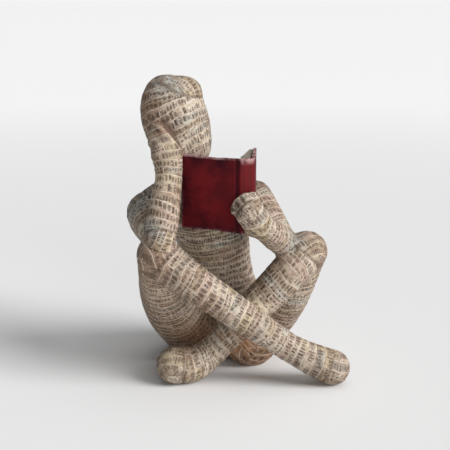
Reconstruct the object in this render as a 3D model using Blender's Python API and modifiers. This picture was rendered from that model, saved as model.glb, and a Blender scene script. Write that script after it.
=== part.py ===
"""A seated figure that reads a small open book, cast in resin.

Lengths are in metres. The figure's pose and proportions are shares of its height,
measured from a point on the ground: X to the viewer's right, Y away, Z up.
"""
import math
from collections import namedtuple

import bmesh
import bpy
from mathutils import Matrix, Vector

# Figure
FIGURE_HEIGHT = 0.150
FIGURE_COLOUR = (0.46, 0.37, 0.27)
FIGURE_ROUGHNESS = 0.75

# The figure's skin: the grid that fuses its forms, how it is softened, and the share of facets kept
SURFACE_STEP = 0.0055 * FIGURE_HEIGHT
SOFTENING = 0.5
SMOOTH_PASSES = 14
TRIANGLES_KEPT = 0.041

# Facets of the forms before they are fused
LIMB_STEPS = 8
LIMB_EDGE_STEPS = 5
ROUND_SIDES = 24
BALL_RINGS = 16
WELD_DISTANCE = 0.000002

# Book
BOOK_HEIGHT = 0.0364
BOARD_WIDTH = 0.0299
BOARD_THICKNESS = 0.0015
SPINE_WIDTH = 0.0075
SPINE_THICKNESS = 0.0014
HINGE_WIDTH = 0.0014
EDGE_ROUNDING = 0.0004
EDGE_ROUNDING_STEPS = 2
PAGE_INSET = 0.0007
FORE_EDGE_INSET = 0.0012
LEFT_LEAVES = 0.0009
RIGHT_LEAVES = 0.0046
RIGHT_LEAVES_AT_EDGE = 0.0018
GUTTER_DEPTH = 0.0105
LEFT_GUTTER_DEPTH = 0.0035
UNION_DEPTH = 0.0003
LEFT_BOARD_ANGLE = math.radians(155.5)
SPINE_ANGLE = math.radians(16)
RIGHT_BOARD_ANGLE = math.radians(87)
BOOK_COLOUR = (0.16, 0.012, 0.014)
BOOK_ROUGHNESS = 0.6

# The book is glued into the hand with this gap all round
GLUE_GAP = 0.0003

# Rings of the trunk, from the seat up: centre x, y, z, half width, half depth
TRUNK = [
    (-0.007, 0.175, -0.020, 0.120, 0.080),
    (-0.005, 0.180, 0.030, 0.168, 0.112),
    (-0.003, 0.187, 0.090, 0.186, 0.128),
    (-0.007, 0.186, 0.150, 0.170, 0.120),
    (-0.012, 0.178, 0.205, 0.139, 0.101),
    (-0.018, 0.167, 0.262, 0.120, 0.088),
    (-0.027, 0.150, 0.340, 0.116, 0.086),
    (-0.044, 0.122, 0.440, 0.131, 0.093),
    (-0.062, 0.097, 0.520, 0.147, 0.096),
    (-0.077, 0.082, 0.578, 0.140, 0.079),
    (-0.090, 0.070, 0.618, 0.096, 0.061),
    (-0.100, 0.059, 0.650, 0.045, 0.043),
]

# Balls of the seat, and every station below this line: centre x, y, z, radius
BUTTOCKS = [
    (0.088, 0.030, 0.086, 0.101),
    (-0.097, 0.083, 0.090, 0.104),
    (0.084, 0.190, 0.092, 0.109),
    (-0.090, 0.190, 0.092, 0.109),
]
NECK_BASE = (-0.097, 0.062, 0.610, 0.053)
NECK_TOP = (-0.128, 0.028, 0.735, 0.046)

# Rings of the head, from the chin up: centre x, y, z, half width, half depth
HEAD = [
    (-0.106, -0.019, 0.705, 0.012, 0.014),
    (-0.104, -0.019, 0.714, 0.042, 0.044),
    (-0.110, -0.016, 0.742, 0.074, 0.070),
    (-0.127, -0.008, 0.780, 0.101, 0.084),
    (-0.149, 0.000, 0.821, 0.114, 0.092),
    (-0.166, 0.007, 0.866, 0.116, 0.095),
    (-0.173, 0.010, 0.915, 0.113, 0.093),
    (-0.164, 0.010, 0.954, 0.099, 0.082),
    (-0.155, 0.008, 0.980, 0.073, 0.062),
    (-0.149, 0.007, 0.996, 0.034, 0.029),
]

# Joints of the arms and legs
COLLAR = (-0.069, 0.083, 0.582, 0.066)
RIGHT_SHOULDER = (-0.266, 0.055, 0.528, 0.072)
RIGHT_ELBOW = (-0.208, -0.208, 0.507, 0.051)
RIGHT_WRIST = (-0.181, -0.125, 0.687, 0.043)
RIGHT_PALM = (-0.193, -0.094, 0.762, 0.049)
LEFT_SHOULDER = (0.103, 0.097, 0.572, 0.061)
LEFT_ELBOW = (0.201, -0.083, 0.450, 0.043)
LEFT_WRIST = (0.121, -0.208, 0.543, 0.040)
LEFT_PALM = (0.078, -0.243, 0.600, 0.046)

RIGHT_HIP = (-0.112, 0.152, 0.080, 0.112)
RIGHT_KNEE = (-0.217, -0.192, 0.444, 0.069)
RIGHT_ANKLE = (0.208, -0.192, 0.132, 0.046)
RIGHT_TOES = (0.358, -0.181, 0.056, 0.058)
LEFT_HIP = (0.098, 0.139, 0.076, 0.104)
LEFT_KNEE = (0.273, -0.083, 0.430, 0.068)
LEFT_ANKLE = (-0.037, -0.132, 0.100, 0.049)
LEFT_TOES = (-0.167, -0.172, 0.061, 0.062)

# Each limb runs through its stations
LIMBS = [
    [NECK_BASE, NECK_TOP],
    [COLLAR, (-0.182, 0.062, 0.593, 0.058), RIGHT_SHOULDER],
    [COLLAR, (0.024, 0.090, 0.584, 0.054), LEFT_SHOULDER],
    [RIGHT_SHOULDER, (-0.244, -0.076, 0.518, 0.063), RIGHT_ELBOW],
    [RIGHT_ELBOW, (-0.198, -0.177, 0.575, 0.052), RIGHT_WRIST],
    [RIGHT_WRIST, (-0.184, -0.107, 0.728, 0.047), RIGHT_PALM],
    [LEFT_SHOULDER, (0.152, 0.014, 0.517, 0.051), LEFT_ELBOW],
    [LEFT_ELBOW, (0.164, -0.146, 0.498, 0.047), LEFT_WRIST],
    [LEFT_WRIST, (0.094, -0.232, 0.577, 0.047), LEFT_PALM],
    [RIGHT_HIP, (-0.189, -0.028, 0.243, 0.095), RIGHT_KNEE],
    [RIGHT_KNEE, (-0.113, -0.215, 0.370, 0.060), (0.049, -0.208, 0.249, 0.054), RIGHT_ANKLE],
    [RIGHT_ANKLE, (0.291, -0.189, 0.087, 0.053), RIGHT_TOES],
    [LEFT_HIP, (0.199, 0.021, 0.229, 0.083), LEFT_KNEE],
    [LEFT_KNEE, (0.212, -0.116, 0.368, 0.065), (0.090, -0.120, 0.236, 0.057), LEFT_ANKLE],
    [LEFT_ANKLE, (-0.104, -0.160, 0.062, 0.059), LEFT_TOES],
]

# Each finger runs from its knuckle to its tip
RIGHT_FINGERS = [
    [(-0.158, -0.111, 0.776, 0.022), (-0.217, -0.082, 0.845, 0.016)],
    [(-0.171, -0.111, 0.769, 0.022), (-0.230, -0.075, 0.833, 0.016)],
    [(-0.184, -0.107, 0.760, 0.022), (-0.239, -0.067, 0.816, 0.016)],
    [(-0.198, -0.100, 0.748, 0.021), (-0.240, -0.058, 0.791, 0.015)],
    [(-0.166, -0.095, 0.738, 0.024), (-0.147, -0.090, 0.766, 0.019)],
]
LEFT_FINGERS = [
    [(0.069, -0.249, 0.587, 0.023), (0.032, -0.226, 0.605, 0.018)],
    [(0.076, -0.249, 0.603, 0.023), (0.040, -0.226, 0.620, 0.018)],
    [(0.082, -0.249, 0.616, 0.023), (0.051, -0.226, 0.634, 0.018)],
    [(0.085, -0.243, 0.621, 0.021), (0.063, -0.222, 0.644, 0.017)],
    [(0.101, -0.229, 0.606, 0.022), (0.090, -0.209, 0.646, 0.017)],
]
HEEL_OF_HAND = [(0.121, -0.204, 0.540, 0.034), (0.086, -0.198, 0.535, 0.026)]

# The outer corner of the book's spine, where it stands on the heel of the left hand
SPINE_FOOT = (0.047, -0.187, 0.517)

# The figure is cast in two, parted at the waist and where the elbows rest on the knees. Each parting has
# its middle, the way to the upper body, and how far it reaches across and along
PARTING_GAP = 0.0003
PARTINGS = {
    "waist": ((-0.025, 0.157, 0.335), (0, 0, 1), 0.160, 0.118),
    "right elbow": ((-0.220, -0.175, 0.468), (0, 0.21, 0.98), 0.110, 0.105),
    "left elbow": ((0.206, -0.084, 0.445), (-0.68, 0.10, 0.73), 0.085, 0.085),
}

PARTS = "reading figure"
CUTTERS = "cutters"

# A board or the spine. Its own X runs along it from the root; inward is the side of Y with the leaves
Panel = namedtuple("Panel", "name root angle inward length thickness leaves")


def start_clean():
    """Empty the scene and make the two collections."""
    for old in list(bpy.data.objects):
        bpy.data.objects.remove(old, do_unlink=True)
    for name in (PARTS, CUTTERS):
        group = bpy.data.collections.new(name)
        bpy.context.scene.collection.children.link(group)


def share(point):
    """A place in metres, from one given in shares of the figure's height."""
    return Vector(point[:3]) * FIGURE_HEIGHT


def add_object(name, data, group=PARTS):
    made = bpy.data.objects.new(name, data)
    bpy.data.collections[group].objects.link(made)
    return made


def finish_of(name, colour, roughness):
    material = bpy.data.materials.new(name)
    material.use_nodes = True
    shader = material.node_tree.nodes["Principled BSDF"]
    shader.inputs["Base Color"].default_value = (*colour, 1)
    shader.inputs["Roughness"].default_value = roughness
    shader.inputs["Metallic"].default_value = 0
    return material


def mesh_of(made):
    """Turn an object into a plain welded mesh object in its place, and return it."""
    bpy.context.view_layer.update()
    evaluated = made.evaluated_get(bpy.context.evaluated_depsgraph_get())
    data = bpy.data.meshes.new_from_object(evaluated)
    solid = bmesh.new()
    solid.from_mesh(data)
    bmesh.ops.remove_doubles(solid, verts=solid.verts, dist=WELD_DISTANCE)
    bmesh.ops.recalc_face_normals(solid, faces=solid.faces)
    solid.to_mesh(data)
    solid.free()
    name = made.name
    place = made.matrix_world.copy()
    group = made.users_collection[0].name
    bpy.data.objects.remove(made, do_unlink=True)
    plain = add_object(name, data, group)
    plain.matrix_world = place
    return plain


def limb(name, stations):
    """A tapering round limb through the stations, with ball ends."""
    curve = bpy.data.curves.new(name, "CURVE")
    curve.dimensions = "3D"
    curve.bevel_depth = FIGURE_HEIGHT
    curve.bevel_resolution = LIMB_EDGE_STEPS
    curve.resolution_u = LIMB_STEPS
    curve.use_fill_caps = True
    spline = curve.splines.new("BEZIER")
    spline.radius_interpolation = "CARDINAL"
    spline.bezier_points.add(len(stations) - 1)
    for point, station in zip(spline.bezier_points, stations):
        point.co = share(station)
        point.radius = station[3]
        point.handle_left_type = "AUTO"
        point.handle_right_type = "AUTO"
    pieces = [mesh_of(add_object(name, curve))]
    for end in (stations[0], stations[-1]):
        pieces.append(ball(name + " end", end))
    return pieces


def ball(name, station):
    sphere = bmesh.new()
    radius = station[3] * FIGURE_HEIGHT
    bmesh.ops.create_uvsphere(sphere, u_segments=ROUND_SIDES, v_segments=BALL_RINGS, radius=radius)
    sphere.transform(Matrix.Translation(share(station)))
    data = bpy.data.meshes.new(name)
    sphere.to_mesh(data)
    sphere.free()
    return add_object(name, data)


def lofted(name, stations):
    """A closed body through oval rings that stand square to the line of their centres."""
    body = bmesh.new()
    rings = []
    for index, (x, y, z, half_width, half_depth) in enumerate(stations):
        before = share(stations[max(index - 1, 0)])
        after = share(stations[min(index + 1, len(stations) - 1)])
        up = (after - before).normalized()
        across = Vector((1, 0, 0))
        across = (across - up * across.dot(up)).normalized()
        inward = up.cross(across)
        ring = []
        for step in range(ROUND_SIDES):
            turn = 2 * math.pi * step / ROUND_SIDES
            offset = across * half_width * math.cos(turn) + inward * half_depth * math.sin(turn)
            ring.append(body.verts.new(share((x, y, z)) + offset * FIGURE_HEIGHT))
        rings.append(ring)
    for lower, upper in zip(rings, rings[1:]):
        for step in range(ROUND_SIDES):
            following = (step + 1) % ROUND_SIDES
            body.faces.new((lower[step], lower[following], upper[following], upper[step]))
    body.faces.new(reversed(rings[0]))
    body.faces.new(rings[-1])
    data = bpy.data.meshes.new(name)
    body.to_mesh(data)
    body.free()
    form = add_object(name, data)
    rounding = form.modifiers.new("round", "SUBSURF")
    rounding.levels = 1
    rounding.render_levels = 1
    return mesh_of(form)


def joined(name, pieces):
    """All the pieces in one mesh object. They still pass through each other."""
    whole = bmesh.new()
    for piece in pieces:
        whole.from_mesh(piece.data)
        bpy.data.objects.remove(piece, do_unlink=True)
    bmesh.ops.recalc_face_normals(whole, faces=whole.faces)
    data = bpy.data.meshes.new(name)
    whole.to_mesh(data)
    whole.free()
    return add_object(name, data)


def combine(target, tool, operation):
    """Cut the tool from the target, or join it on, and hide the tool."""
    tool.hide_render = True
    tool.display_type = "WIRE"
    boolean = target.modifiers.new(operation.lower() + " " + tool.name, "BOOLEAN")
    boolean.operation = operation
    boolean.solver = "EXACT"
    boolean.object = tool


def box(name, low, high, place, group):
    """A box between two corners of its own frame, carried to its place."""
    cube = bmesh.new()
    bmesh.ops.create_cube(cube, size=1)
    low = Vector(low)
    high = Vector(high)
    cube.transform(place @ Matrix.Translation((low + high) / 2) @ Matrix.Diagonal((*(high - low), 1)))
    data = bpy.data.meshes.new(name)
    cube.to_mesh(data)
    cube.free()
    return add_object(name, data, group)


def ground_cutter():
    """All that lies below the surface the figure sits on."""
    reach = 2 * FIGURE_HEIGHT
    return box("ground", (-reach, -reach, -reach), (reach, reach, 0), Matrix.Identity(4), CUTTERS)


def direction(angle):
    return Vector((math.cos(angle), math.sin(angle), 0))


def spine_corners():
    """The outer corners of the spine, and the roots of both boards, seen from above."""
    left = share(SPINE_FOOT)
    right = left + direction(SPINE_ANGLE) * SPINE_WIDTH
    left_root = left + direction(LEFT_BOARD_ANGLE) * HINGE_WIDTH
    right_root = right + direction(RIGHT_BOARD_ANGLE) * HINGE_WIDTH
    return left, right, left_root, right_root


def book_panels():
    """The boards and the spine, with the depth of leaves that each one carries."""
    left, _, left_root, right_root = spine_corners()
    gutter = GUTTER_DEPTH - SPINE_THICKNESS
    return [
        Panel("left board", left_root, LEFT_BOARD_ANGLE, -1, BOARD_WIDTH, BOARD_THICKNESS, LEFT_LEAVES),
        Panel("spine", left, SPINE_ANGLE, 1, SPINE_WIDTH, SPINE_THICKNESS, gutter),
        Panel("right board", right_root, RIGHT_BOARD_ANGLE, 1, BOARD_WIDTH, BOARD_THICKNESS, RIGHT_LEAVES),
    ]


def panel_solid(panel):
    """One board or the spine, with rounded edges."""
    place = Matrix.Translation(panel.root) @ Matrix.Rotation(panel.angle, 4, "Z")
    low_y, high_y = sorted((0, panel.thickness * panel.inward))
    solid = box(panel.name, (0, low_y, 0), (panel.length, high_y, BOOK_HEIGHT), place, CUTTERS)
    rounding = solid.modifiers.new("rounded edges", "BEVEL")
    rounding.width = EDGE_ROUNDING
    rounding.segments = EDGE_ROUNDING_STEPS
    return solid


def panel_pocket(panel):
    """The room that a panel and its leaves need in the hand, with the gap for the glue."""
    place = Matrix.Translation(panel.root) @ Matrix.Rotation(panel.angle, 4, "Z")
    depth = panel.thickness + panel.leaves + GLUE_GAP
    low_y, high_y = sorted((-GLUE_GAP * panel.inward, depth * panel.inward))
    low = (-GLUE_GAP, low_y, -GLUE_GAP)
    high = (panel.length + GLUE_GAP, high_y, BOOK_HEIGHT + GLUE_GAP)
    return box(panel.name + " pocket", low, high, place, CUTTERS)


def page_outline():
    """The leaves seen from above: thin on the left board, thick on the right one."""
    left, right, left_root, right_root = spine_corners()
    along_left = direction(LEFT_BOARD_ANGLE)
    along_right = direction(RIGHT_BOARD_ANGLE)
    into_left = Vector((along_left.y, -along_left.x, 0))
    into_right = Vector((-along_right.y, along_right.x, 0))
    into_spine = Vector((-math.sin(SPINE_ANGLE), math.cos(SPINE_ANGLE), 0))
    board_face = BOARD_THICKNESS - UNION_DEPTH
    spine_face = SPINE_THICKNESS - UNION_DEPTH
    reach = BOARD_WIDTH - FORE_EDGE_INSET
    left_page = BOARD_THICKNESS + LEFT_LEAVES
    gutter_left = left_root + along_left * LEFT_GUTTER_DEPTH + into_left * left_page
    gutter_right = right_root + along_right * GUTTER_DEPTH
    return [
        left_root + along_left * reach + into_left * board_face,
        left_root + into_left * board_face,
        left + into_spine * spine_face,
        right + into_spine * spine_face,
        right_root + into_right * board_face,
        right_root + along_right * reach + into_right * board_face,
        right_root + along_right * reach + into_right * (BOARD_THICKNESS + RIGHT_LEAVES_AT_EDGE),
        gutter_right + into_right * (BOARD_THICKNESS + RIGHT_LEAVES),
        gutter_left,
        left_root + along_left * reach + into_left * left_page,
    ]


def flat_shape(name, outline, thickness):
    """A flat outline with its thickness, half of it on either side."""
    curve = bpy.data.curves.new(name, "CURVE")
    curve.dimensions = "2D"
    curve.fill_mode = "BOTH"
    curve.extrude = thickness / 2
    spline = curve.splines.new("POLY")
    spline.points.add(len(outline) - 1)
    for point, corner in zip(spline.points, outline):
        point.co = (corner.x, corner.y, 0, 1)
    spline.use_cyclic_u = True
    return add_object(name, curve)


def make_book():
    """The leaves in one block, joined to both boards and the spine."""
    leaves = flat_shape("book", page_outline(), BOOK_HEIGHT - 2 * PAGE_INSET)
    leaves.location.z = share(SPINE_FOOT).z + BOOK_HEIGHT / 2
    book = mesh_of(leaves)
    for panel in book_panels():
        combine(book, panel_solid(panel), "UNION")
    book.data.materials.append(finish_of("dark red cloth", BOOK_COLOUR, BOOK_ROUGHNESS))


def parting_cutter(name):
    """The thin plate of air between the upper and the lower body at one parting."""
    middle, upward, across, along = PARTINGS[name]
    turn = Vector(upward).to_track_quat("Z", "Y").to_matrix().to_4x4()
    half = Vector((across * FIGURE_HEIGHT, along * FIGURE_HEIGHT, PARTING_GAP / 2))
    return box(name + " parting", -half, half, Matrix.Translation(share(middle)) @ turn, CUTTERS)


def part_in_two(whole):
    """Give each half of the parted figure an object of its own. The head is on the upper one."""
    cast = bmesh.new()
    cast.from_mesh(whole.data)
    reached = {max(cast.verts, key=lambda vertex: vertex.co.z)}
    waiting = list(reached)
    while waiting:
        vertex = waiting.pop()
        for edge in vertex.link_edges:
            other = edge.other_vert(vertex)
            if other not in reached:
                reached.add(other)
                waiting.append(other)
    on_upper = [vertex in reached for vertex in cast.verts]
    cast.free()
    for name, is_upper in (("upper_body", True), ("lower_body", False)):
        half = bmesh.new()
        half.from_mesh(whole.data)
        others = [vertex for vertex, upper in zip(half.verts, on_upper) if upper != is_upper]
        bmesh.ops.delete(half, geom=others, context="VERTS")
        data = whole.data.copy()
        half.to_mesh(data)
        half.free()
        add_object(name, data)
    bpy.data.objects.remove(whole, do_unlink=True)


def make_figure():
    """The trunk, head, limbs and fingers fused into one skin, which is then cut and parted."""
    pieces = [lofted("trunk", TRUNK), lofted("head", HEAD)]
    for station in BUTTOCKS:
        pieces.append(ball("seat", station))
    for stations in LIMBS + RIGHT_FINGERS + LEFT_FINGERS + [HEEL_OF_HAND]:
        pieces.extend(limb("limb", stations))
    figure = joined("figure", pieces)

    skin = figure.modifiers.new("fuse", "REMESH")
    skin.mode = "VOXEL"
    skin.voxel_size = SURFACE_STEP
    soften = figure.modifiers.new("soften", "SMOOTH")
    soften.factor = SOFTENING
    soften.iterations = SMOOTH_PASSES
    facets = figure.modifiers.new("facets", "DECIMATE")
    facets.ratio = TRIANGLES_KEPT
    facets.use_collapse_triangulate = True

    combine(figure, ground_cutter(), "DIFFERENCE")
    for panel in book_panels():
        combine(figure, panel_pocket(panel), "DIFFERENCE")
    for name in PARTINGS:
        combine(figure, parting_cutter(name), "DIFFERENCE")
    figure.data.materials.append(finish_of("papered resin", FIGURE_COLOUR, FIGURE_ROUGHNESS))
    part_in_two(mesh_of(figure))


def centre_on_origin():
    """Move everything sideways, so that the box around the parts is centred on the origin."""
    bpy.context.view_layer.update()
    depsgraph = bpy.context.evaluated_depsgraph_get()
    corners = []
    for made in bpy.data.collections[PARTS].objects:
        seen = made.evaluated_get(depsgraph)
        corners.extend(seen.matrix_world @ vertex.co for vertex in seen.data.vertices)
    middle_x = (min(c.x for c in corners) + max(c.x for c in corners)) / 2
    middle_y = (min(c.y for c in corners) + max(c.y for c in corners)) / 2
    for made in bpy.data.objects:
        made.location -= Vector((middle_x, middle_y, 0))


start_clean()
make_figure()
make_book()
centre_on_origin()
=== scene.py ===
"""The looks of a small seated figure that reads a book.

A skin of pasted printed strips, a worn red book with its leaves, and a plain studio.
Lengths are in metres. The figure's pose is repeated as shares of its height.
"""

import math

import bmesh
import bpy
import numpy as np
from bpy.props import FloatProperty, FloatVectorProperty, PointerProperty
from mathutils import Matrix, Vector, noise
from mathutils.bvhtree import BVHTree


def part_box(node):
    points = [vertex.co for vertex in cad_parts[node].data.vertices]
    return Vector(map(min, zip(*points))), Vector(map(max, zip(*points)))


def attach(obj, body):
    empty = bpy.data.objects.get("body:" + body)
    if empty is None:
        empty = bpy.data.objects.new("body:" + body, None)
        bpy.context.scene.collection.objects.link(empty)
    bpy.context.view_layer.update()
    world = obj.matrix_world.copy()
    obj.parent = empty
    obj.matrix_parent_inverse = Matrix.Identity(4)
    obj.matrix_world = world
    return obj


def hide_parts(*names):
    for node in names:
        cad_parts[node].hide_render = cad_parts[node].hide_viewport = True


bl_info = {
    "name": "Reading Figure",
    "version": (1, 0, 0),
    "blender": (4, 5, 0),
    "location": "3D Viewport > Sidebar > Reading Figure",
    "description": "Papered skin, book and studio for a seated reading figure",
    "category": "Object",
}

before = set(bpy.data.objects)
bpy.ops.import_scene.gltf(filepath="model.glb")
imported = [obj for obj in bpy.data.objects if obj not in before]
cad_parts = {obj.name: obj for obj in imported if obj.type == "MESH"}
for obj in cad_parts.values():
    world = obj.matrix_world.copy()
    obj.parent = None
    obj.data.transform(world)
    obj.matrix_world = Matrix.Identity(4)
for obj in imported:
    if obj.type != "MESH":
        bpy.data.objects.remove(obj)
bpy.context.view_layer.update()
MM = 0.001

# The figure's height, the point that its shares are measured from, and the halves that it is cast in
FIGURE_HEIGHT = 0.150
ORIGIN = Vector((-0.00583, -0.00151, 0))
CAST_HALVES = ("upper_body", "lower_body")

# Stations of each limb that the paper is wound along: x, y, z, radius, in shares of the height
TRUNK = [
    (-0.004, 0.182, -0.02, 0.120),
    (-0.004, 0.185, 0.100, 0.140),
    (-0.018, 0.167, 0.262, 0.110),
    (-0.044, 0.122, 0.440, 0.118),
    (-0.070, 0.090, 0.560, 0.100),
    (-0.094, 0.064, 0.640, 0.050),
]
HEAD = [
    (-0.100, 0.040, 0.660, 0.046),
    (-0.118, -0.004, 0.760, 0.088),
    (-0.149, 0.003, 0.840, 0.104),
    (-0.170, 0.010, 0.915, 0.102),
    (-0.168, 0.010, 0.960, 0.070),
]
RIGHT_SHOULDER = (-0.266, 0.055, 0.528, 0.066)
RIGHT_ELBOW = (-0.208, -0.208, 0.507, 0.050)
LEFT_SHOULDER = (0.103, 0.097, 0.572, 0.060)
LEFT_ELBOW = (0.201, -0.083, 0.450, 0.043)
RIGHT_KNEE = (-0.217, -0.192, 0.444, 0.069)
LEFT_KNEE = (0.273, -0.083, 0.430, 0.068)
COLLAR = (-0.069, 0.083, 0.582, 0.060)
LIMBS = {
    "trunk": TRUNK,
    "head": HEAD,
    "right collar": [COLLAR, (-0.182, 0.062, 0.593, 0.050), RIGHT_SHOULDER],
    "left collar": [COLLAR, (0.024, 0.090, 0.584, 0.050), LEFT_SHOULDER],
    "right upper arm": [RIGHT_SHOULDER, (-0.244, -0.076, 0.518, 0.063), RIGHT_ELBOW],
    "right forearm": [RIGHT_ELBOW, (-0.198, -0.177, 0.575, 0.052), (-0.181, -0.125, 0.687, 0.043),
                      (-0.193, -0.094, 0.762, 0.049), (-0.236, -0.070, 0.840, 0.030)],
    "left upper arm": [LEFT_SHOULDER, (0.152, 0.014, 0.517, 0.051), LEFT_ELBOW],
    "left forearm": [LEFT_ELBOW, (0.164, -0.146, 0.498, 0.047), (0.121, -0.208, 0.543, 0.040),
                     (0.078, -0.243, 0.600, 0.046), (0.052, -0.226, 0.640, 0.030)],
    "right thigh": [(-0.112, 0.152, 0.080, 0.105), (-0.189, -0.028, 0.243, 0.095), RIGHT_KNEE],
    "right shin": [RIGHT_KNEE, (-0.113, -0.215, 0.370, 0.060), (0.049, -0.208, 0.249, 0.054),
                   (0.208, -0.192, 0.132, 0.046), (0.291, -0.189, 0.087, 0.053),
                   (0.358, -0.181, 0.056, 0.050)],
    "left thigh": [(0.098, 0.139, 0.076, 0.098), (0.199, 0.021, 0.229, 0.083), LEFT_KNEE],
    "left shin": [LEFT_KNEE, (0.212, -0.116, 0.368, 0.065), (0.090, -0.120, 0.236, 0.057),
                  (-0.037, -0.132, 0.100, 0.049), (-0.104, -0.160, 0.062, 0.059),
                  (-0.167, -0.172, 0.061, 0.052)],
}

# The side of each limb that faces out, away from where its strips end
OUTER_SIDE = {"right upper arm": (-1, 0, 0.3), "right thigh": (-0.5, -1, 0.4), "left thigh": (0.6, -1, 0.4)}
FRONT = (0, -1, 0.15)

# How much the strips of a limb rise to its right
SLANT = {"trunk": -0.04, "head": 0.20, "right forearm": -0.12, "right shin": 0.10, "left shin": -0.10,
         "right thigh": 0.06, "left upper arm": 0.15, "left forearm": -0.08}

# How much narrower than most the strips of a limb are
FINENESS = {"trunk": 1.10, "right thigh": 1.15, "left thigh": 1.10, "right collar": 1.1, "left collar": 1.1}

# Round ends where short strips are pasted the other way: centre, radius, and the line they go round
CAPS = {
    "crown": ((-0.160, 0.010, 0.945, 0.092), (0.30, 0.95, 0.1)),
    "right knee": ((-0.222, -0.196, 0.450, 0.073), (0.8, 0.5, 0.3)),
    "left knee": ((0.276, -0.086, 0.436, 0.072), (-0.5, 0.8, 0.5)),
    "right toes": ((0.362, -0.181, 0.056, 0.058), (0.2, 0.1, 1)),
    "left toes": ((-0.171, -0.172, 0.061, 0.062), (0.2, 0.9, 0.5)),
    "right shoulder": ((-0.272, 0.062, 0.530, 0.075), (0.3, 0.2, 1)),
    "right elbow": ((-0.206, -0.214, 0.500, 0.056), (0.9, 0.3, -0.4)),
    "scrap on the left hand": ((0.076, -0.284, 0.600, 0.028), (0.6, 0.2, 0.8)),
}

# Forms that stand out a little on the casting: two fingers on the cheek, and the side of the crown
RIDGES = [
    [(-0.166, 0.009, 0.915, 0.086), (-0.145, 0.008, 0.930, 0.071),
     (-0.125, 0.008, 0.942, 0.051), (-0.120, 0.006, 0.908, 0.053)],
    [(-0.174, -0.110, 0.799, 0.017), (-0.203, -0.096, 0.833, 0.016), (-0.226, -0.073, 0.851, 0.013)],
    [(-0.204, -0.121, 0.779, 0.016), (-0.229, -0.082, 0.812, 0.015), (-0.243, -0.050, 0.836, 0.012)],
]

# Creases pressed into the hands, each through its points: x, y, z and its half width
CREASES = [
    [(-0.143, -0.106, 0.786, 0.011), (-0.174, -0.096, 0.830, 0.014), (-0.203, -0.082, 0.864, 0.010)],
    [(0.028, -0.258, 0.594, 0.008), (0.048, -0.268, 0.620, 0.009), (0.082, -0.256, 0.646, 0.007)],
    [(0.036, -0.262, 0.606, 0.005), (0.018, -0.232, 0.610, 0.004)],
    [(0.047, -0.263, 0.620, 0.005), (0.031, -0.236, 0.630, 0.004)],
    [(0.061, -0.262, 0.634, 0.005), (0.047, -0.232, 0.647, 0.004)],
]

# The flat of the head's side, beside the hand
TEMPLE = [[(-0.040, -0.004, 0.890, 0.055), (-0.040, -0.010, 0.830, 0.055)]]

# Places where the paper has a cold grey tint, is darkened, mostly with painted shade on the figure's shaded
# sides and partly as dinginess, or is stained with rust: x, y, z and reach
TINTED_PLACES = {
    "cold": [
        (-0.201, -0.043, 0.984, 0.075),
        (-0.300, 0.000, 0.560, 0.110),
        (-0.240, -0.235, 0.540, 0.060),
        (0.215, -0.120, 0.480, 0.065),
    ],
    "dingy_and_shaded": [
        (-0.270, -0.030, 0.860, 0.150),
        (-0.255, -0.260, 0.430, 0.130),
        (-0.300, -0.060, 0.230, 0.210),
        (-0.060, -0.270, 0.270, 0.090),
        (0.330, -0.060, 0.420, 0.090),
    ],
    "rusty": [
        (0.090, -0.060, 0.030, 0.190),
        (-0.060, -0.020, 0.030, 0.170),
        (0.040, -0.020, 0.130, 0.120),
    ],
}

# How the winding is read off a limb, and how its strips stray: size in millimetres, bends per metre
CURVE_POINTS = 48
WOBBLES = [(1.6, 42), (1.0, 105), (0.25, 330)]

# Shares that spread the strips' ends and levels evenly, and what is added to a strip for its second draw
GOLDEN = 0.618034
SECOND_GOLDEN = 0.754878
THIRD_GOLDEN = 0.569840
SECOND_DRAW = 71

# How far the skin swells to close the partings, and how its ridges and strips are laid on
FILL_STEP = 0.0002
RIDGE_STEPS = 24
LEVEL_SHARE = 0.7
PLACE_STRENGTH = 1.6

# How the hollows are felt out: rays from each point, how far they reach and where they start
HOLLOW_RAYS = 14
HOLLOW_REACH = 0.022
HOLLOW_START = 0.0003

# Clouds of noise in the finishes: bends per metre and levels of detail
CLOUDS = {
    "torn edge": (900, 3),
    "torn end": (700, 3),
    "rubbed print": (240, 4),
    "eaten print": (1500, 2),
    "blotches": (60, 4),
    "smudges": (290, 4),
    "specks": (1100, 3),
    "chips": (760, 3),
    "fibres": (1500, 4),
    "crinkle": (320, 3),
    "mottling": (70, 5),
    "flecks": (420, 4),
    "cloth grain": (2300, 2),
    "pits": (520, 3),
    "leaf tone": (160, 4),
    "foxing": (900, 3),
    "leaf grain": (1400, 3),
}
CLOUD_ROUGHNESS = 0.55

# How much of its red, green and blue aged paper keeps, and how much paler than the paper the painted
# highlight on its torn rim, and its chips, are
PAPER_AGEING = (0.66, 0.61, 0.54)
LEAF_AGEING = (0.70, 0.66, 0.58)
PALE_RIM = 1.4

# Edges of the strips in millimetres: the painted highlight along the torn rim, how it fades, and the painted
# shadow line under it
HIGHLIGHT_RIM_WIDTH = 0.36
HIGHLIGHT_RIM_FADE = 0.08
SHADOW_LINE_WIDTH = 0.30

# The book, as it is cast
BOOK_HEIGHT = 0.0364
BOARD_WIDTH = 0.0299
BOARD_THICKNESS = 0.0015
SPINE_WIDTH = 0.0075
HINGE_WIDTH = 0.0014
PAGE_INSET = 0.0007
FORE_EDGE_INSET = 0.0012
LEFT_LEAVES = 0.0009
RIGHT_LEAVES = 0.0046
RIGHT_LEAVES_AT_EDGE = 0.0018
GUTTER_DEPTH = 0.0105
LEFT_GUTTER_DEPTH = 0.0035
LEFT_BOARD_ANGLE = math.radians(155.5)
SPINE_ANGLE = math.radians(16)
RIGHT_BOARD_ANGLE = math.radians(87)
SPINE_FOOT = (0.047, -0.187, 0.517)
INTO_SPINE = (-math.sin(SPINE_ANGLE), math.cos(SPINE_ANGLE), 0)

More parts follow.
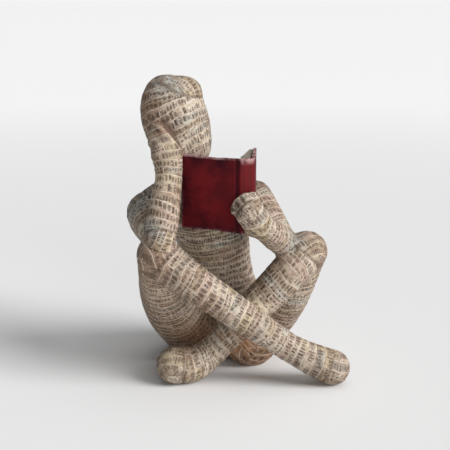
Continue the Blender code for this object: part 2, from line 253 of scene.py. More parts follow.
# The leaves: how many, how finely each is bent, how far its edge strays and how much of its room it fills
RIGHT_LEAF_COUNT = 13
LEFT_LEAF_COUNT = 3
LEAF_STEPS = 12
LEAF_ROWS = 10
LEAF_STRAY = 0.00012
LEAF_FILL = 0.86

# Wear on the cover: dents and waves with their bends per metre, rubbed rims, and bands on the spine
DENT_DEPTH = 0.00012
DENT_BENDS = 190
WAVE_BENDS = 150
RUBBED_RIM = 0.0009
RUBBED_SPINE = 0.0026
SPINE_BANDS = 4.5

# The studio: where its lights stand, how high the camera looks, and how big its floor is
TOWARDS_KEY = (0.75, -0.35, 0.56)
TOWARDS_FRONT = (0.35, -0.93, 0.08)
TOWARDS_TOP = (0.15, 0.05, 1)
LOOK_HEIGHT = 0.07484
SENSOR_WIDTH = 36
FLOOR_SIZE = 8


def length_setting(name, description, default):
    return FloatProperty(name=name, description=description, default=default, unit="LENGTH", precision=5)


def colour_setting(name, description, default):
    return FloatVectorProperty(name=name, description=description, default=default, subtype="COLOR")


class SkinSettings(bpy.types.PropertyGroup):
    grid: length_setting("Surface Grid", "Spacing of the points of the fine surface", 0.00072)
    strip_width: length_setting("Strip Width", "Width of one pasted strip", 0.0042)
    strip_length: length_setting("Strip Length", "Length of one pasted strip", 0.021)
    paper_thickness: length_setting("Paper Thickness", "Step at a strip's edge", 0.00024)
    crease_depth: length_setting("Crease Depth", "Depth of the creases between the fingers", 0.0008)
    temple_depth: length_setting("Temple Depth", "How far the side of the head is pressed in", 0.0012)
    paper: colour_setting("Paper", "Colour of the clean paper", (0.57, 0.485, 0.39))
    ink: colour_setting("Ink", "Colour of the printed marks", (0.026, 0.013, 0.009))
    faded_ink: colour_setting("Faded Ink", "Colour of the browned marks", (0.042, 0.022, 0.015))
    # Stain also colours the painted shade in the hollows and creases, and the painted shadow lines under the
    # strips' edges
    stain_and_painted_shade: colour_setting("Stain", "Colour of the stain in the hollows", (0.085, 0.048, 0.028))
    rust: colour_setting("Rust", "Colour of the stain low down on the seat", (0.38, 0.18, 0.075))
    # Grime also colours the painted shade on the figure's shaded sides, besides the smudges
    grime_and_painted_shade: colour_setting("Grime", "Colour of the smudges on the paper", (0.24, 0.15, 0.098))
    yellow: colour_setting("Yellow Paper", "Colour of the yellowed strips", (0.54, 0.45, 0.29))
    pink: colour_setting("Pink Paper", "Colour of the pinkish strips", (0.53, 0.39, 0.33))
    cold: colour_setting("Cold Paper", "Colour of the blue-grey strips", (0.36, 0.395, 0.375))


class BookSettings(bpy.types.PropertyGroup):
    cover: colour_setting("Cover", "Colour of the book's cover", (0.135, 0.008, 0.011))
    # Dark also colours the painted shade towards the cover's rims and in the hinge grooves
    dark: colour_setting("Dark Cover", "Colour of the cover's dark clouds", (0.040, 0.003, 0.007))
    spine: colour_setting("Spine", "Colour of the spine's cloth", (0.10, 0.010, 0.010))
    worn: colour_setting("Worn Cover", "Colour of the cover's rubbed edges", (0.42, 0.26, 0.26))
    leaves: colour_setting("Leaves", "Colour of the leaves", (0.33, 0.30, 0.27))
    leaf_edge: colour_setting("Leaf Edge", "Colour of the browned edges of the leaves", (0.20, 0.15, 0.10))
    foxing: colour_setting("Foxing", "Colour of the brown spots on the leaves", (0.18, 0.13, 0.09))
    groove: length_setting("Hinge Groove", "Depth of the groove beside the spine", 0.0006)
    groove_width: length_setting("Groove Width", "Half the width of the groove", 0.0018)
    wave: length_setting("Edge Wave", "How far the cover's edges wave up and down", 0.0004)
    roundness: length_setting("Spine Roundness", "How far the spine bulges", 0.0003)
    edge: length_setting("Edge Rounding", "Rounding of the cover's edges", 0.0004)
    spacing: length_setting("Cover Grid", "Spacing of the points of the cover", 0.0006)


class StageSettings(bpy.types.PropertyGroup):
    floor: colour_setting("Floor", "Colour of the floor", (0.93, 0.93, 0.93))
    # The near floor's darker colour is painted shade round the figure
    near_floor: colour_setting("Near Floor", "Colour of the floor round the figure", (0.80, 0.80, 0.80))
    key: FloatProperty(name="Key Light", description="Strength of the main light", default=3.2)
    front: FloatProperty(name="Front Light", description="Strength of the low light from the front",
                         default=1.6)
    top: FloatProperty(name="Top Light", description="Strength of the light from above", default=0.9)
    softness: FloatProperty(name="Key Softness", description="How wide the main light looks",
                            default=math.radians(34), subtype="ANGLE")
    sky: FloatProperty(name="Sky", description="Strength of the light from all round", default=0.09)
    distance: length_setting("Camera Distance", "From the camera to the figure's middle", 0.5405)
    elevation: FloatProperty(name="Camera Elevation", description="How far the camera looks down",
                             default=math.radians(14), subtype="ANGLE")
    lens: FloatProperty(name="Lens", description="Focal length in millimetres", default=85)


class Flow:
    """A number that flows between a shader's nodes, so that it can be written into sums."""

    def __init__(self, finish, socket):
        self.finish = finish
        self.socket = socket

    def math(self, operation, *values):
        inputs = dict(enumerate(values))
        return self.finish.node("ShaderNodeMath", {"operation": operation}, inputs)

    def __add__(self, other):
        return self.math("ADD", self, other)

    def __sub__(self, other):
        return self.math("SUBTRACT", self, other)

    def __rsub__(self, other):
        return self.math("SUBTRACT", other, self)

    def __mul__(self, other):
        return self.math("MULTIPLY", self, other)

    def __truediv__(self, other):
        return self.math("DIVIDE", self, other)

    def __rtruediv__(self, other):
        return self.math("DIVIDE", other, self)

    def __gt__(self, other):
        return self.math("GREATER_THAN", self, other)

    __radd__ = __add__
    __rmul__ = __mul__

    def floor(self):
        return self.math("FLOOR", self)

    def fraction(self):
        return self.math("FRACT", self)

    def larger(self, other):
        return self.math("MAXIMUM", self, other)

    def smaller(self, other):
        return self.math("MINIMUM", self, other)

    def rise(self, low, high):
        """0 below low, 1 above high and smooth between them."""
        inputs = {"Value": self, "From Min": low, "From Max": high}
        return self.finish.node("ShaderNodeMapRange", {"interpolation_type": "SMOOTHSTEP"}, inputs)

    def band(self, low, high, soft):
        """1 between low and high, fading over soft at both."""
        return self.rise(low - soft, low + soft) * (1 - self.rise(high - soft, high + soft))


class Finish:
    """A material in the making."""

    def __init__(self, name):
        self.material = bpy.data.materials.new(name)
        self.material.use_nodes = True
        self.tree = self.material.node_tree
        self.shader = self.tree.nodes["Principled BSDF"]

    def node(self, kind, settings=None, inputs=None, output=0):
        made = self.tree.nodes.new(kind)
        for name, value in (settings or {}).items():
            setattr(made, name, value)
        for name, value in (inputs or {}).items():
            self.feed(made.inputs[name], value)
        return Flow(self, made.outputs[output])

    def feed(self, socket, value):
        if isinstance(value, Flow):
            self.tree.links.new(value.socket, socket)
        else:
            socket.default_value = value

    def mix(self, factor, a, b):
        """Two colours mixed. The node's colour sockets are told apart by number, since its names repeat."""
        inputs = {0: factor, 6: opaque(a), 7: opaque(b)}
        return self.node("ShaderNodeMix", {"data_type": "RGBA"}, inputs, output=2)

    def split(self, vector):
        parts = self.node("ShaderNodeSeparateXYZ", inputs={0: vector})
        outputs = parts.socket.node.outputs
        return [Flow(self, outputs[axis]) for axis in "XYZ"]

    def join(self, x, y, z):
        return self.node("ShaderNodeCombineXYZ", inputs={"X": x, "Y": y, "Z": z})

    def attribute(self, name, output="Fac"):
        return self.node("ShaderNodeAttribute", {"attribute_name": name}, output=output)

    def chance(self, x, y, z):
        """Three even random numbers for each whole-numbered place."""
        place = self.join(x, y, z)
        colour = self.node("ShaderNodeTexWhiteNoise", {"noise_dimensions": "3D"}, {"Vector": place}, "Color")
        return self.split(colour)

    def cloud(self, place, name):
        scale, detail = CLOUDS[name]
        inputs = {"Vector": place, "Scale": scale, "Detail": detail, "Roughness": CLOUD_ROUGHNESS}
        return self.node("ShaderNodeTexNoise", inputs=inputs)

    def place(self):
        return self.node("ShaderNodeTexCoord", output="Object")

    def bump(self, height, distance, strength):
        inputs = {"Height": height, "Distance": distance, "Strength": strength}
        return self.node("ShaderNodeBump", inputs=inputs)

    def finish(self, **sockets):
        for name, value in sockets.items():
            self.feed(self.shader.inputs[name.replace("_", " ")], value)
        return self.material


def opaque(colour):
    """A colour as a socket takes it."""
    if isinstance(colour, Flow):
        return colour
    return (*colour, 1.0)


def share(station):
    """The place of a station that is given in shares of the figure's height."""
    return Vector(station[:3]) * FIGURE_HEIGHT + ORIGIN


def knots_of(stations):
    """Place and radius of each station, in metres."""
    return np.array([(*share(station), station[3] * FIGURE_HEIGHT) for station in stations])


def mesh_object(name, data):
    made = bpy.data.objects.new(name, data)
    bpy.context.scene.collection.objects.link(made)
    return made


def apply_modifiers(made):
    """Make the object's modifiers real."""
    bpy.context.view_layer.update()
    depsgraph = bpy.context.evaluated_depsgraph_get()
    data = bpy.data.meshes.new_from_object(made.evaluated_get(depsgraph))
    made.modifiers.clear()
    made.data = data


def points_of(data):
    found = np.empty(len(data.vertices) * 3)
    data.vertices.foreach_get("co", found)
    return found.reshape(-1, 3)


def normals_of(data):
    found = np.empty(len(data.vertices) * 3)
    data.vertex_normals.foreach_get("vector", found)
    return found.reshape(-1, 3)


def unit(vectors):
    return vectors / np.maximum(np.linalg.norm(vectors, axis=-1, keepdims=True), 1e-12)


class Winding:
    """Reads places on the surface as distances along and around the limb they lie on."""

    def __init__(self):
        self.slants = np.zeros(len(LIMBS) + len(CAPS))
        self.fineness = np.ones(len(LIMBS) + len(CAPS))
        points = []
        for owner, (name, stations) in enumerate(LIMBS.items()):
            points += limb_points(owner, stations, OUTER_SIDE.get(name, FRONT))
            self.slants[owner] = SLANT.get(name, 0)
            self.fineness[owner] = FINENESS.get(name, 1)
        for owner, (station, line) in enumerate(CAPS.values(), start=len(LIMBS)):
            points += winding_points(owner, knots_of([station]), [line], [0.0], FRONT)
        columns = [np.array(column) for column in zip(*points)]
        self.centres, self.radii, self.lines, self.outers, self.lengths, self.girths, self.owners = columns

    def nearest(self, places):
        """The winding point whose limb each place lies on, and how far the next limb's seam is."""
        best = np.full((len(self.slants), len(places)), np.inf)
        found = np.zeros((len(self.slants), len(places)), int)
        for index, (centre, radius, owner) in enumerate(zip(self.centres, self.radii, self.owners)):
            reach = np.linalg.norm(places - centre, axis=1) - radius
            closer = reach < best[owner]
            best[owner, closer] = reach[closer]
            found[owner, closer] = index
        first = best.argmin(0)
        lowest = np.sort(best, axis=0)
        return found[first, np.arange(len(places))], (lowest[1] - lowest[0]) / 2

    def read(self, places, found):
        """Distance along the limb and angle around it, for places on the given points."""
        line = self.lines[found]
        offset = places - self.centres[found]
        outward = self.outers[found]
        sideways = np.cross(line, outward)
        across = (offset * sideways).sum(1)
        angle = np.arctan2(across, (offset * outward).sum(1))
        along = self.lengths[found] + (offset * line).sum(1)
        owner = self.owners[found]
        return (along - self.slants[owner] * across) * self.fineness[owner], angle


def limb_points(owner, stations, outer):
    """The winding points on the smooth middle line of a limb."""
    knots = knots_of(stations)
    steps = np.linspace(0, len(knots) - 1, CURVE_POINTS)
    smooth = np.array([curve_at(knots, step) for step in steps])
    centres = smooth[:, :3]
    gaps = np.linalg.norm(np.diff(centres, axis=0), axis=1)
    lengths = np.concatenate([[0], np.cumsum(gaps)])
    return winding_points(owner, smooth, np.gradient(centres, axis=0), lengths, outer)


def winding_points(owner, knots, lines, lengths, outer):
    """Centre, radius, line, outer side, length so far, mean radius and limb of each point."""
    girth = float(np.mean(knots[:, 3]))
    points = []
    for knot, line, length in zip(knots, unit(np.array(lines, float)), lengths):
        outward = unit(np.array(outer, float) - line * np.dot(outer, line))
        points.append((knot[:3], knot[3], line, outward, length, girth, owner))
    return points


def curve_at(knots, step):
    """A point of the smooth curve through the knots."""
    index = min(int(step), len(knots) - 2)
    part = step - index
    before = knots[max(index - 1, 0)]
    start = knots[index]
    end = knots[index + 1]
    after = knots[min(index + 2, len(knots) - 1)]
    linear = (end - before) * part
    square = (2 * before - 5 * start + 4 * end - after) * part ** 2
    cube = (3 * start - before - 3 * end + after) * part ** 3
    return start + 0.5 * (linear + square + cube)


def wobble_of(places):
    """How far each place's strip strays along the limb, in metres."""
    found = [sum(size * noise.noise(Vector(place) * scale) for size, scale in WOBBLES) for place in places]
    return np.array(found) * MM


def strip_of(along, around, owner, settings):
    """The strip at each place, how far across it the place is, and the piece of the strip."""
    strip = np.floor(along / settings.strip_width)
    across = along / settings.strip_width - strip
    start = np.mod(strip * GOLDEN + owner * SECOND_GOLDEN, 1)
    piece = np.floor(around / settings.strip_length + start)
    return strip, across, piece


def wind(made, winding):
    """Write along, around and limb on each corner, from the limb that its face lies on."""
    data = made.data
    points = points_of(data)
    faces = len(data.polygons)
    middles = np.empty(faces * 3)
    data.polygons.foreach_get("center", middles)
    middles = middles.reshape(-1, 3)
    corner_points = np.empty(len(data.loops), int)
    data.loops.foreach_get("vertex_index", corner_points)
    sizes = np.empty(faces, int)
    data.polygons.foreach_get("loop_total", sizes)
    face_of = np.repeat(np.arange(faces), sizes)

    found, _ = winding.nearest(middles)
    _, middle_angle = winding.read(middles, found)
    places = points[corner_points]
    along, angle = winding.read(places, found[face_of])
    turns = np.round((angle - middle_angle[face_of]) / (2 * math.pi))
    angle -= turns * 2 * math.pi
    owner = winding.owners[found][face_of]
    along += wobble_of(points)[corner_points]
    around = angle * winding.girths[found][face_of]
    wrap = data.attributes.new("wrap", "FLOAT_VECTOR", "CORNER")
    values = np.stack([along / MM, around / MM, owner.astype(float)], axis=1)
    wrap.data.foreach_set("vector", values.ravel())


def paste_strips(made, winding, settings):
    """Raise each strip over the one before it, as overlapped paper lies, and press in the creases."""
    data = made.data
    points = points_of(data)
    found, seam = winding.nearest(points)
    along, angle = winding.read(points, found)
    along = along + wobble_of(points)
    owner = winding.owners[found]
    strip, across, piece = strip_of(along, angle * winding.girths[found], owner, settings)
    level = np.mod(strip * SECOND_GOLDEN + piece * THIRD_GOLDEN + owner * GOLDEN, 1)
    crease = pressed(points, CREASES)
    height = settings.paper_thickness * (across + LEVEL_SHARE * level) - settings.crease_depth * crease
    height -= settings.temple_depth * pressed(points, TEMPLE)
    moved = points + normals_of(data) * (height - FILL_STEP)[:, None]
    on_floor = points[:, 2] < FILL_STEP
    moved[:, 2] = np.where(on_floor, 0, np.maximum(moved[:, 2], 0))
    data.vertices.foreach_set("co", moved.ravel())
    data.update()
    write_point_values(data, "crease", crease)
    write_point_values(data, "seam", seam / MM)
    for name, stations in TINTED_PLACES.items():
        write_point_values(data, name, nearness(points, stations))


def pressed(points, creases):
    """How deep in one of the creases each point is, from 0 to 1."""
    deepest = np.zeros(len(points))
    for stations in creases:
        knots = knots_of(stations)
        for step in np.linspace(0, len(knots) - 1, CURVE_POINTS):
            station = curve_at(knots, step)
            far = np.linalg.norm(points - station[:3], axis=1) / station[3]
            deepest = np.maximum(deepest, np.exp(-far ** 2))
    return deepest


def nearness(points, stations):
    """How near each point is to the middle of one of the places, from 0 to 1."""
    nearest = np.zeros(len(points))
    for knot in knots_of(stations):
        far = np.linalg.norm(points - knot[:3], axis=1) / knot[3]
        nearest = np.maximum(nearest, np.clip(PLACE_STRENGTH * (1 - far), 0, 1))
    return nearest


def write_hollows(made, others):
    """How closed in each point is, from 0 in the open to 1 deep in a fold."""
    data = made.data
    depsgraph = bpy.context.evaluated_depsgraph_get()
    trees = [BVHTree.FromObject(piece, depsgraph) for piece in [made, *others]]
    points = points_of(data)
    normals = normals_of(data)
    turns = [index * math.pi * (3 - math.sqrt(5)) for index in range(HOLLOW_RAYS)]
    rises = [math.sqrt(1 - (index + 0.5) / HOLLOW_RAYS) for index in range(HOLLOW_RAYS)]
    rays = [Vector((math.cos(t) * math.sqrt(1 - r * r), math.sin(t) * math.sqrt(1 - r * r), r))
            for t, r in zip(turns, rises)]
    closed = np.zeros(len(points))
    for index, (point, normal) in enumerate(zip(points, normals)):
        up = Vector(normal)
        turn = Vector((0, 0, 1)).rotation_difference(up)
        start = Vector(point) + up * HOLLOW_START
        for ray in rays:
            heading = turn @ ray
            for tree in trees:
                hit = tree.ray_cast(start, heading, HOLLOW_REACH)
                if hit[0] is not None:
                    closed[index] += 1 - hit[3] / HOLLOW_REACH
                    break
    write_point_values(data, "hollow", closed / HOLLOW_RAYS)


def write_point_values(data, name, values):
    layer = data.attributes.new(name, "FLOAT", "POINT")
    layer.data.foreach_set("value", values)


def printed_marks(finish, width, across, down, chances, keys):
    """Rows of plain blocks and ticks, one large row or two small ones on a scrap, from 0 to 1."""
    size, shift, slide = chances
    strip, piece, owner = keys

    # The rows, which lean a little on each scrap, and the cells along them
    pitch = (1 - 0.46 * (size > 0.66)) * width * (0.86 + 0.24 * slide)
    slope = (shift - 0.5) * 0.30
    rows = (across + down * slope + (slide - 0.5) * 0.9) / pitch
    row = rows.floor()
    height = rows - row
    cells = (down + slide * 9) / (width * (0.32 + 0.26 * shift))
    cell = cells.floor()
    one, two, three = finish.chance(cell, row + strip * 7, owner + piece * 17)

    # In each cell a block and a thin tick beside it, and some cells left bare
    leaning = cells - cell + (height - 0.5) * (two - 0.5) * 0.5
    block = height.band(0.06 + 0.26 * three, 0.62 + 0.28 * two, 0.05)
    block = block * leaning.band(0.04 + 0.08 * one, 0.58 + 0.20 * two, 0.06)
    tick = height.band(0.34 * one + 0.12, 0.50 + 0.34 * three, 0.05) * leaning.band(0.80, 0.92, 0.04)
    return block.larger(tick) * (one + three > 0.30) * (0.70 + 0.30 * one)


def papered_finish(settings):
    """Aged printed strips with torn edges, stained brown and darkened with painted shade in the hollows,
    with painted highlights and shadow lines at the strips' edges.
    """
    finish = Finish("papered_resin")
    along, around, owner = finish.split(finish.attribute("wrap", "Vector"))
    place = finish.place()
    width = settings.strip_width / MM
    length = settings.strip_length / MM
    along = along + (finish.cloud(place, "torn edge") - 0.5) * 0.7
    around = around + (finish.cloud(place, "torn end") - 0.5) * 0.6
    strip = (along / width).floor()
    across = along - strip * width
    start = (strip * GOLDEN + owner * SECOND_GOLDEN).fraction()
    reach = around / length + start
    piece = reach.floor()
    down = (reach - piece) * length
    chances = finish.chance(strip, piece, owner)
    tone, tint, density = finish.chance(strip + SECOND_DRAW, piece, owner)

    written = printed_marks(finish, width, across, down - length / 2, chances, (strip, piece, owner))
    rubbed = finish.cloud(place, "rubbed print").rise(0.26, 0.44)
    eaten = finish.cloud(place, "eaten print").rise(0.40, 0.54)
    marks = written * (0.86 + 0.14 * density) * (0.72 + 0.28 * rubbed) * (0.74 + 0.26 * eaten)

    # The tone of each strip, then the tint of the place it lies in, with painted shade on the figure's
    # shaded sides, then smudges and specks
    aged = [part * kept for part, kept in zip(settings.paper, PAPER_AGEING)]
    paper = finish.mix(tone.rise(0.1, 0.9), settings.paper, aged)
    paper = finish.mix(tint.rise(0.80, 0.90) * 0.6, paper, settings.yellow)
    paper = finish.mix(tint.band(0.56, 0.72, 0.03) * 0.6, paper, settings.pink)
    paper = finish.mix((1 - tint).rise(0.84, 0.92) * 0.4, paper, settings.cold)
    paper = finish.mix(finish.attribute("cold") * 0.8, paper, settings.cold)
    blotches = finish.cloud(place, "blotches")
    # Painted shade on the figure's shaded sides, broken into blotches, with some dinginess
    dingy_and_shaded = finish.attribute("dingy_and_shaded") * (0.5 + 0.7 * blotches)
    paper = finish.mix(dingy_and_shaded.smaller(0.75), paper, settings.grime_and_painted_shade)
    rusty = finish.attribute("rusty") * (0.4 + 0.7 * blotches)
    paper = finish.mix(rusty.smaller(0.8), paper, settings.rust)
    smudges = finish.cloud(place, "smudges")
    paper = finish.mix(blotches.rise(0.44, 0.70) * 0.55, paper, settings.grime_and_painted_shade)
    paper = finish.mix(smudges.rise(0.46, 0.62) * 0.6, paper, settings.grime_and_painted_shade)
    specks = finish.cloud(place, "specks").rise(0.56, 0.70)
    paper = finish.mix(specks * 0.5, paper, settings.stain_and_painted_shade)

    # Edges of the strips: a painted highlight along the torn rim, and a painted shadow line where it meets
    # the strip below or the next limb's strips
    side_rim = across.band(width - HIGHLIGHT_RIM_WIDTH, width, HIGHLIGHT_RIM_FADE)
    rim = side_rim.larger(down.band(length - HIGHLIGHT_RIM_WIDTH, length, HIGHLIGHT_RIM_FADE))
    side_line = 1 - across.rise(0.02, SHADOW_LINE_WIDTH)
    end_line = 1 - down.rise(0.02, SHADOW_LINE_WIDTH)
    seam_line = 1 - finish.attribute("seam").rise(0.05, 0.28)
    shadow_line = side_line.larger(end_line).larger(seam_line)
    inked = finish.mix(marks, paper, finish.mix(tone, settings.ink, settings.faded_ink))
    pale = [part * PALE_RIM for part in settings.paper]
    chips = finish.cloud(place, "chips").rise(0.58, 0.68)
    # Painted highlight along the strips' rims, with pale chips
    rimmed = finish.mix((rim * 0.55).larger(chips * 0.35), inked, pale)
    # Painted shadow line under the strips' edges and along the seams between limbs
    lined = finish.mix(shadow_line * 0.55, rimmed, settings.stain_and_painted_shade)

    # Stain and painted shade in the hollows, a little more of it low down, painted shade in the creases, and
    # rust low down
    hollow = finish.attribute("hollow")
    crease = finish.attribute("crease")
    low_down = 1 - finish.split(place)[2].rise(0.004, 0.036)
    grime_and_painted_shade = (hollow.rise(0.30, 0.80) + 0.15 * low_down) * (0.50 + 0.7 * blotches)
    stained_and_shaded = finish.mix(grime_and_painted_shade.larger(crease).smaller(0.85), lined, settings.stain_and_painted_shade)
    rust = low_down * hollow.rise(0.03, 0.25) * (0.30 + 0.5 * blotches)
    colour = finish.mix(rust.smaller(0.5), stained_and_shaded, settings.rust)

    fibres = finish.cloud(place, "fibres")
    crinkle = finish.cloud(place, "crinkle")
    relief = (rim - shadow_line) * 0.6 + crinkle * 1.0 + fibres * 0.3 - marks * 0.08
    roughness = 0.60 + 0.2 * crinkle - 0.10 * marks
    return finish.finish(Base_Color=colour, Roughness=roughness, Specular_IOR_Level=0.28,
                         Normal=finish.bump(relief, 0.00024, 0.85))


def cover_finish(settings):
    """Dark red cloth, mottled in clouds, darkened with painted shade towards its rims and in the hinge
    grooves, brighter on the spine and rubbed at the rims.
    """
    finish = Finish("book_cloth")
    place = finish.place()
    rubbed = finish.attribute("rubbed")
    middle = finish.attribute("middle")
    spine = finish.attribute("spine")
    groove = finish.attribute("groove")
    clouds = finish.cloud(place, "mottling")
    flecks = finish.cloud(place, "flecks")
    # Painted shade: the cover darkens towards its rims and is lighter in its middle, over the mottling
    bright = (middle * 0.6 + clouds.rise(0.38, 0.64) * 0.7 + flecks * 0.3 - 0.25).larger(0).smaller(1)
    colour = finish.mix(bright, settings.dark, settings.cover)
    bands = finish.attribute("band")
    on_spine = finish.mix(bands * 0.6 + flecks.rise(0.45, 0.65) * 0.3, settings.spine, settings.cover)
    colour = finish.mix(spine, colour, on_spine)
    colour = finish.mix(rubbed * (0.25 + 0.75 * flecks.rise(0.40, 0.56)), colour, settings.worn)
    # Painted shade in the hinge grooves
    colour = finish.mix(groove * 0.9, colour, settings.dark)
    grain = finish.cloud(place, "cloth grain")
    pits = finish.cloud(place, "pits")
    relief = grain * 0.4 + pits * 0.8 + clouds * 1.2
    roughness = 0.50 + 0.25 * clouds + 0.1 * rubbed
    return finish.finish(Base_Color=colour, Roughness=roughness, Specular_IOR_Level=0.10,
                         Normal=finish.bump(relief, 0.0002, 0.7))


def leaf_finish(settings):
    """Aged cream leaves, browner at their edges."""
    finish = Finish("book_pages")
    place = finish.place()
    edge = finish.attribute("edge")
    leaf = finish.attribute("leaf")
    clouds = finish.cloud(place, "leaf tone")
    aged = [part * kept for part, kept in zip(settings.leaves, LEAF_AGEING)]
    colour = finish.mix(leaf * 0.6, settings.leaves, aged)
    colour = finish.mix(edge * (0.15 + 0.5 * clouds), colour, settings.leaf_edge)
    spots = finish.cloud(place, "foxing").rise(0.56, 0.72)
    colour = finish.mix(spots * 0.45, colour, settings.foxing)
    relief = finish.cloud(place, "leaf grain")
    return finish.finish(Base_Color=colour, Roughness=0.7 + 0.15 * clouds, Specular_IOR_Level=0.25,
                         Normal=finish.bump(relief, 0.00008, 0.6))


def direction(angle):
    """The level line at an angle from the X axis."""
    return Vector((math.cos(angle), math.sin(angle), 0))


def spine_corners():
    """The outer corners of the spine, and the roots of both boards, seen from above."""
    left = share(SPINE_FOOT)
    right = left + direction(SPINE_ANGLE) * SPINE_WIDTH
    left_root = left + direction(LEFT_BOARD_ANGLE) * HINGE_WIDTH
    right_root = right + direction(RIGHT_BOARD_ANGLE) * HINGE_WIDTH
    return left, right, left_root, right_root


def cover_path(settings):
    """The cover's outer face seen from above."""
    left, right, left_root, right_root = spine_corners()
    into_spine = Vector(INTO_SPINE)
    left_end = left_root + direction(LEFT_BOARD_ANGLE) * BOARD_WIDTH
    right_end = right_root + direction(RIGHT_BOARD_ANGLE) * BOARD_WIDTH
    path = []
    for start, end, bulge in ((left_end, left, 0), (left, right, settings.roundness), (right, right_end, 0)):
        steps = round((end - start).length / settings.spacing)
        for step in range(steps):
            part = step / steps
            path.append(start.lerp(end, part) - into_spine * bulge * math.sin(math.pi * part))
    path.append(right_end)
    return path


def make_cover(settings):
    """The cover, folded from one sheet, with rounded edges and its wear."""
    path = cover_path(settings)
    rows = round(BOOK_HEIGHT / settings.spacing)
    foot = share(SPINE_FOOT).z
    sheet = bmesh.new()
    grid = []
    for row in range(rows + 1):
        height = foot + BOOK_HEIGHT * row / rows
        grid.append([sheet.verts.new((point.x, point.y, height)) for point in path])
    for lower, upper in zip(grid, grid[1:]):
        for index in range(len(path) - 1):
            sheet.faces.new((lower[index], lower[index + 1], upper[index + 1], upper[index]))
    data = bpy.data.meshes.new("book_cover")
    sheet.to_mesh(data)
    sheet.free()
    cover = mesh_object("book_cover", data)
    boards = cover.modifiers.new("boards", "SOLIDIFY")
    boards.thickness = BOARD_THICKNESS
    boards.offset = -1
    rounding = cover.modifiers.new("rounded edges", "BEVEL")
    rounding.width = settings.edge
    rounding.segments = 3
    rounding.limit_method = "ANGLE"
    rounding.angle_limit = math.radians(50)
    apply_modifiers(cover)
    wear_cover(cover, settings)
    cover.data.shade_smooth()
    cover.data.set_sharp_from_angle(angle=math.radians(50))
    cover.data.materials.append(cover_finish(settings))
    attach(cover, "root")
    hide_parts("book")


def wear_cover(cover, settings):
    """Press the hinge grooves, wave and dent the cover, and write where it is rubbed and where it takes
    painted shade.
    """
    data = cover.data
    points = points_of(data)
    normals = normals_of(data)
    left, right, _, _ = spine_corners()
    low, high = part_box("book")
    from_top = high.z - points[:, 2]
    from_rim = np.minimum(points[:, 2] - low.z, from_top)
    groove = np.zeros(len(points))
    for corner, angle in ((left, LEFT_BOARD_ANGLE), (right, RIGHT_BOARD_ANGLE)):
        offset = points - np.array(corner)
        far = offset @ np.array(direction(angle))
        on_board = np.abs(offset @ np.array(direction(angle + math.pi / 2))) < 2 * BOARD_THICKNESS
        reach = BOARD_WIDTH + HINGE_WIDTH
        from_rim = np.where(on_board, np.minimum(from_rim, reach - far), from_rim)
        aside = (far - 0.7 * settings.groove_width) / settings.groove_width
        groove = np.maximum(groove, np.clip(1 - aside ** 2, 0, 1) ** 2 * on_board)
    into_spine = np.array(INTO_SPINE)
    along_spine = (points - np.array(left)) @ np.array(direction(SPINE_ANGLE)) / SPINE_WIDTH
    outside = normals @ into_spine < -0.3
    on_spine = np.clip(3 - 6 * np.abs(along_spine - 0.52), 0, 1) * outside
    dents = np.array([noise.noise(Vector(point) * DENT_BENDS) for point in points]) * DENT_DEPTH
    wave = np.array([noise.noise(Vector((*point[:2], 0)) * WAVE_BENDS) for point in points])
    rise = (points[:, 2] - (low.z + high.z) / 2) / (BOOK_HEIGHT / 2)
    rim = np.clip(1 - from_rim / RUBBED_RIM, 0, 1) * 0.35
    top_rim = np.clip(1.3 - from_top / RUBBED_RIM, 0, 1)
    spine_top = np.clip(1.2 - from_top / RUBBED_SPINE, 0, 1) * on_spine
    bands = np.clip(np.cos(along_spine * SPINE_BANDS * math.pi) * 1.5, 0, 1)
    write_point_values(data, "rubbed", np.maximum(np.maximum(rim, top_rim), spine_top))
    # How far into the cover's middle each point is, for the painted shade towards its rims
    write_point_values(data, "middle", np.clip((from_rim - 2 * MM) / (9 * MM), 0, 1))
    # Where the hinge grooves run, for the painted shade in them
    write_point_values(data, "groove", groove * outside)
    write_point_values(data, "spine", on_spine)
    write_point_values(data, "band", bands * on_spine)
    moved = points + normals * dents[:, None]
    moved += into_spine * (settings.groove * groove * outside)[:, None]
    moved[:, 2] += settings.wave * wave * rise
    data.vertices.foreach_set("co", moved.ravel())
    data.update()


def leaf_path(part, on_right):
    """One leaf seen from above: out of the gutter and over its board. part is 0 on the board, 1 on top."""
    left, right, left_root, right_root = spine_corners()
    into_spine = Vector(INTO_SPINE)
    if on_right:
        along = direction(RIGHT_BOARD_ANGLE)
        into = Vector((-along.y, along.x, 0))
        root = right.lerp(left, 0.08 + 0.60 * part) + into_spine * (BOARD_THICKNESS + 0.2 * MM)
        bend = right_root + along * GUTTER_DEPTH
        bend += into * (BOARD_THICKNESS + RIGHT_LEAVES * (0.04 + 0.94 * part))
        end = right_root + along * (BOARD_WIDTH - FORE_EDGE_INSET)
        end += into * (BOARD_THICKNESS + RIGHT_LEAVES_AT_EDGE * (0.06 + 0.92 * part))
    else:
        along = direction(LEFT_BOARD_ANGLE)
        into = Vector((along.y, -along.x, 0))
        root = left.lerp(right, 0.05 + 0.20 * part) + into_spine * (BOARD_THICKNESS + 0.2 * MM)
        lift = into * (BOARD_THICKNESS + LEFT_LEAVES * (0.2 + 0.75 * part))
        bend = left_root + along * LEFT_GUTTER_DEPTH + lift
        end = left_root + along * (BOARD_WIDTH - FORE_EDGE_INSET) + lift
    turn = root + into_spine * (bend - root).dot(into_spine) * 0.72
    path = []
    for step in range(LEAF_STEPS):
        t = step / LEAF_STEPS
        path.append(root * (1 - t) ** 2 + turn * 2 * t * (1 - t) + bend * t ** 2)
    path += [bend.lerp(end, step / LEAF_STEPS) for step in range(LEAF_STEPS + 1)]
    return path


